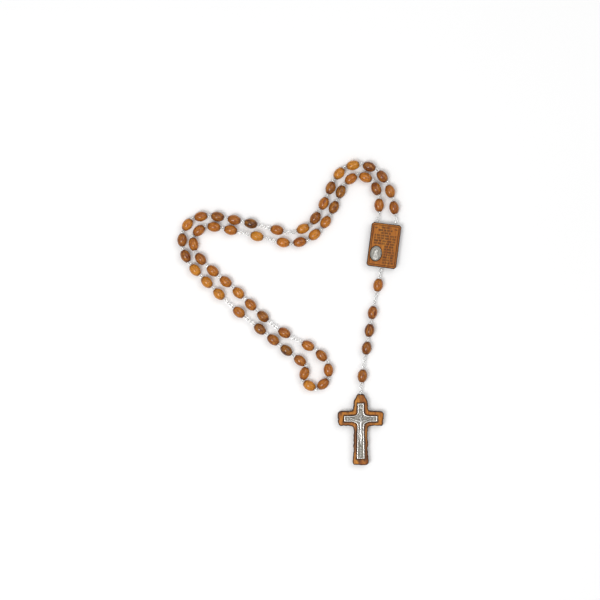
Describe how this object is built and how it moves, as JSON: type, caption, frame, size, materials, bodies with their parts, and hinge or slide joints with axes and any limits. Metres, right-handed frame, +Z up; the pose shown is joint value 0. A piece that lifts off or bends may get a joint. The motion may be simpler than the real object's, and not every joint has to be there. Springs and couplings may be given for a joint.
{
  "type": "rosary",
  "caption": "Rosary laid out flat: oval wooden beads on linked eye pins, a wooden tablet with an oval medal, and a wooden cross carrying a metal crucifix.",
  "frame": {"origin": "centre of the bounding box in plan, on the surface that the rosary lies on", "axes": "+Z up from the surface, +Y from the cross towards the arch of the loop, +X towards the tablet's side"},
  "size_m": [0.148, 0.2015, 0.0087],
  "materials": {
    "bead_wood": "glossy lacquered olive wood, caramel to dark brown from bead to bead",
    "tablet_wood": "satin wood with a burnt edge and engraved strokes",
    "cross_wood": "satin carved wood with dark burnt edges",
    "wire_metal": "bright silver-coloured wire",
    "cast_metal": "antiqued silver-coloured casting, dark in the recesses"
  },
  "bodies": {
    "tablet": {"tablet": "tablet_wood", "medal": "cast_metal", "tablet_screw_eyes": "wire_metal"},
    "loop_1": {"loop_beads_1": "bead_wood", "loop_pins_1": "wire_metal", "loop_links_1": "wire_metal"},
    "loop_2": {"loop_beads_2": "bead_wood", "loop_pins_2": "wire_metal"},
    "loop_3": {"loop_beads_3": "bead_wood", "loop_pins_3": "wire_metal", "loop_links_3": "wire_metal"},
    "loop_4": {"loop_beads_4": "bead_wood", "loop_pins_4": "wire_metal", "loop_links_4": "wire_metal"},
    "loop_5": {"loop_beads_5": "bead_wood", "loop_pins_5": "wire_metal"},
    "loop_6": {"loop_beads_6": "bead_wood", "loop_pins_6": "wire_metal", "loop_links_6": "wire_metal"},
    "loop_7": {"loop_beads_7": "bead_wood", "loop_pins_7": "wire_metal", "loop_links_7": "wire_metal"},
    "loop_8": {"loop_beads_8": "bead_wood", "loop_pins_8": "wire_metal", "loop_links_8": "wire_metal"},
    "loop_9": {"loop_beads_9": "bead_wood", "loop_pins_9": "wire_metal"},
    "our_father_bead_1": {"our_father_bead_1": "bead_wood"},
    "our_father_bead_2": {"our_father_bead_2": "bead_wood"},
    "our_father_bead_3": {"our_father_bead_3": "bead_wood"},
    "our_father_bead_4": {"our_father_bead_4": "bead_wood"},
    "tail_link_1": {"tail_link_1": "wire_metal"},
    "tail_link_2": {"tail_link_2": "wire_metal"},
    "tail_pin_1": {"tail_pin_1": "wire_metal"},
    "tail_link_3": {"tail_link_3": "wire_metal"},
    "tail_link_4": {"tail_link_4": "wire_metal"},
    "tail_link_5": {"tail_link_5": "wire_metal"},
    "tail_pin_2": {"tail_pin_2": "wire_metal"},
    "tail_pin_3": {"tail_pin_3": "wire_metal"},
    "tail_pin_4": {"tail_pin_4": "wire_metal"},
    "tail_link_6": {"tail_link_6": "wire_metal"},
    "tail_link_7": {"tail_link_7": "wire_metal"},
    "tail_link_8": {"tail_link_8": "wire_metal"},
    "tail_pin_5": {"tail_pin_5": "wire_metal"},
    "tail_link_9": {"tail_link_9": "wire_metal"},
    "cross_ring": {"cross_ring": "wire_metal"},
    "cross": {"cross_wood": "cross_wood", "crucifix_plate": "cast_metal", "corpus": "cast_metal", "title_scroll": "cast_metal", "cross_screw_eye": "wire_metal"},
    "tail_bead_1": {"tail_bead_1": "bead_wood"},
    "tail_bead_2": {"tail_bead_2": "bead_wood"},
    "tail_bead_3": {"tail_bead_3": "bead_wood"},
    "tail_bead_4": {"tail_bead_4": "bead_wood"},
    "tail_bead_5": {"tail_bead_5": "bead_wood"}
  },
  "joints": [
    {"name": "loop_fold_1", "type": "hinge", "parent": "tablet", "child": "loop_1", "pos_m": [0.06462, 0.06001, 0.0033], "axis": [0.9916, -0.1292, 0], "range_deg": [-75, 75]},
    {"name": "loop_fold_2", "type": "hinge", "parent": "loop_1", "child": "loop_2", "pos_m": [0.05704, 0.0908, 0.0033], "axis": [-0.3238, -0.9461, 0], "range_deg": [-30, 30]},
    {"name": "loop_fold_3", "type": "hinge", "parent": "loop_2", "child": "loop_3", "pos_m": [0.02875, 0.07626, 0.0033], "axis": [-0.9328, 0.3605, 0], "range_deg": [-75, 75]},
    {"name": "loop_fold_4", "type": "hinge", "parent": "loop_3", "child": "loop_4", "pos_m": [-0.0147, 0.05268, 0.0033], "axis": [-0.4024, -0.9155, 0], "range_deg": [-75, 75]},
    {"name": "loop_fold_5", "type": "hinge", "parent": "loop_4", "child": "loop_5", "pos_m": [-0.04266, 0.05917, 0.0033], "axis": [0.3292, 0.9443, 0], "range_deg": [-75, 75]},
    {"name": "loop_fold_6", "type": "hinge", "parent": "loop_5", "child": "loop_6", "pos_m": [-0.0485, 0.02045, 0.0033], "axis": [0.4679, 0.8838, 0], "range_deg": [-75, 75]},
    {"name": "loop_fold_7", "type": "hinge", "parent": "loop_6", "child": "loop_7", "pos_m": [-0.02433, -0.00153, 0.0033], "axis": [-0.6367, -0.7711, 0], "range_deg": [-75, 75]},
    {"name": "loop_fold_8", "type": "hinge", "parent": "loop_7", "child": "loop_8", "pos_m": [-0.0126, -0.01135, 0.0033], "axis": [0.6956, 0.7184, 0], "range_deg": [-75, 75]},
    {"name": "loop_fold_9", "type": "hinge", "parent": "loop_8", "child": "loop_9", "pos_m": [0.00501, -0.02358, 0.0033], "axis": [-0.5193, -0.8546, 0], "range_deg": [-75, 75]},
    {"name": "our_father_bead_1_spin", "type": "hinge", "parent": "loop_4", "child": "our_father_bead_1", "pos_m": [-0.02132, 0.05058, 0.0033], "axis": [-0.9715, 0.2369, 0], "continuous": true},
    {"name": "our_father_bead_2_spin", "type": "hinge", "parent": "loop_8", "child": "our_father_bead_2", "pos_m": [-0.00323, -0.01311, 0.0033], "axis": [0.849, -0.5284, 0], "continuous": true},
    {"name": "our_father_bead_3_spin", "type": "hinge", "parent": "loop_3", "child": "our_father_bead_3", "pos_m": [-0.00809, 0.05472, 0.0033], "axis": [-0.9698, 0.2437, 0], "continuous": true},
    {"name": "our_father_bead_4_spin", "type": "hinge", "parent": "loop_6", "child": "our_father_bead_4", "pos_m": [-0.0332, 0.00044, 0.0033], "axis": [0.773, -0.6345, 0], "continuous": true},
    {"name": "tail_fold_1", "type": "hinge", "parent": "tablet", "child": "tail_link_1", "pos_m": [0.06046, 0.02878, 0.0033], "axis": [0.9889, -0.1483, 0], "range_deg": [-75, 75]},
    {"name": "tail_swing_1", "type": "hinge", "parent": "tail_link_1", "child": "tail_link_2", "pos_m": [0.06013, 0.02661, 0.0033], "axis": [0, 0, 1], "range_deg": [-8, 75]},
    {"name": "tail_fold_2", "type": "hinge", "parent": "tail_link_2", "child": "tail_pin_1", "pos_m": [0.05983, 0.02443, 0.0033], "axis": [-0.9825, 0.1862, 0], "range_deg": [-75, 75]},
    {"name": "tail_swing_2", "type": "hinge", "parent": "tail_pin_1", "child": "tail_link_3", "pos_m": [0.0575, 0.01215, 0.0033], "axis": [0, 0, -1], "range_deg": [-75, 12]},
    {"name": "tail_fold_3", "type": "hinge", "parent": "tail_link_3", "child": "tail_link_4", "pos_m": [0.05701, 0.01, 0.0033], "axis": [0.9749, -0.2228, 0], "range_deg": [-75, 75]},
    {"name": "tail_swing_3", "type": "hinge", "parent": "tail_link_4", "child": "tail_link_5", "pos_m": [0.05652, 0.00786, 0.0033], "axis": [0, 0, 1], "range_deg": [-12, 75]},
    {"name": "tail_fold_4", "type": "hinge", "parent": "tail_link_5", "child": "tail_pin_2", "pos_m": [0.05603, 0.00571, 0.0033], "axis": [-0.9749, 0.2228, 0], "range_deg": [-75, 75]},
    {"name": "tail_swing_4", "type": "hinge", "parent": "tail_pin_2", "child": "tail_pin_3", "pos_m": [0.05381, -0.00598, 0.0033], "axis": [0, 0, -1], "range_deg": [-75, 18]},
    {"name": "tail_fold_5", "type": "hinge", "parent": "tail_pin_3", "child": "tail_pin_4", "pos_m": [0.05207, -0.01715, 0.0033], "axis": [0.9871, -0.1599, 0], "range_deg": [-75, 75]},
    {"name": "tail_swing_5", "type": "hinge", "parent": "tail_pin_4", "child": "tail_link_6", "pos_m": [0.05008, -0.02949, 0.0033], "axis": [0, 0, 1], "range_deg": [-22, 75]},
    {"name": "tail_fold_6", "type": "hinge", "parent": "tail_link_6", "child": "tail_link_7", "pos_m": [0.04971, -0.03166, 0.0033], "axis": [-0.9864, 0.1644, 0], "range_deg": [-75, 75]},
    {"name": "tail_swing_6", "type": "hinge", "parent": "tail_link_7", "child": "tail_link_8", "pos_m": [0.04935, -0.03383, 0.0033], "axis": [0, 0, -1], "range_deg": [-75, 28]},
    {"name": "tail_fold_7", "type": "hinge", "parent": "tail_link_8", "child": "tail_pin_5", "pos_m": [0.04899, -0.03599, 0.0033], "axis": [0.9864, -0.1644, 0], "range_deg": [-75, 75]},
    {"name": "tail_swing_7", "type": "hinge", "parent": "tail_pin_5", "child": "tail_link_9", "pos_m": [0.04754, -0.04781, 0.0033], "axis": [0, 0, 1], "range_deg": [-38, 75]},
    {"name": "tail_fold_8", "type": "hinge", "parent": "tail_link_9", "child": "cross_ring", "pos_m": [0.04734, -0.05, 0.0033], "axis": [-0.9959, 0.0906, 0], "range_deg": [-75, 75]},
    {"name": "tail_swing_8", "type": "hinge", "parent": "cross_ring", "child": "cross", "pos_m": [0.04714, -0.05219, 0.0033], "axis": [0, 0, -1], "range_deg": [-75, 48]},
    {"name": "tail_bead_1_spin", "type": "hinge", "parent": "tail_pin_1", "child": "tail_bead_1", "pos_m": [0.05866, 0.01829, 0.0033], "axis": [-0.1862, -0.9825, 0], "continuous": true},
    {"name": "tail_bead_2_spin", "type": "hinge", "parent": "tail_pin_2", "child": "tail_bead_2", "pos_m": [0.05498, 0.00016, 0.0033], "axis": [-0.1883, -0.9821, 0], "continuous": true},
    {"name": "tail_bead_3_spin", "type": "hinge", "parent": "tail_pin_3", "child": "tail_bead_3", "pos_m": [0.05294, -0.01156, 0.0033], "axis": [-0.1537, -0.9881, 0], "continuous": true},
    {"name": "tail_bead_4_spin", "type": "hinge", "parent": "tail_pin_4", "child": "tail_bead_4", "pos_m": [0.05108, -0.02331, 0.0033], "axis": [-0.1599, -0.9871, 0], "continuous": true},
    {"name": "tail_bead_5_spin", "type": "hinge", "parent": "tail_pin_5", "child": "tail_bead_5", "pos_m": [0.04831, -0.04161, 0.0033], "axis": [-0.124, -0.9923, 0], "continuous": true}
  ]
}
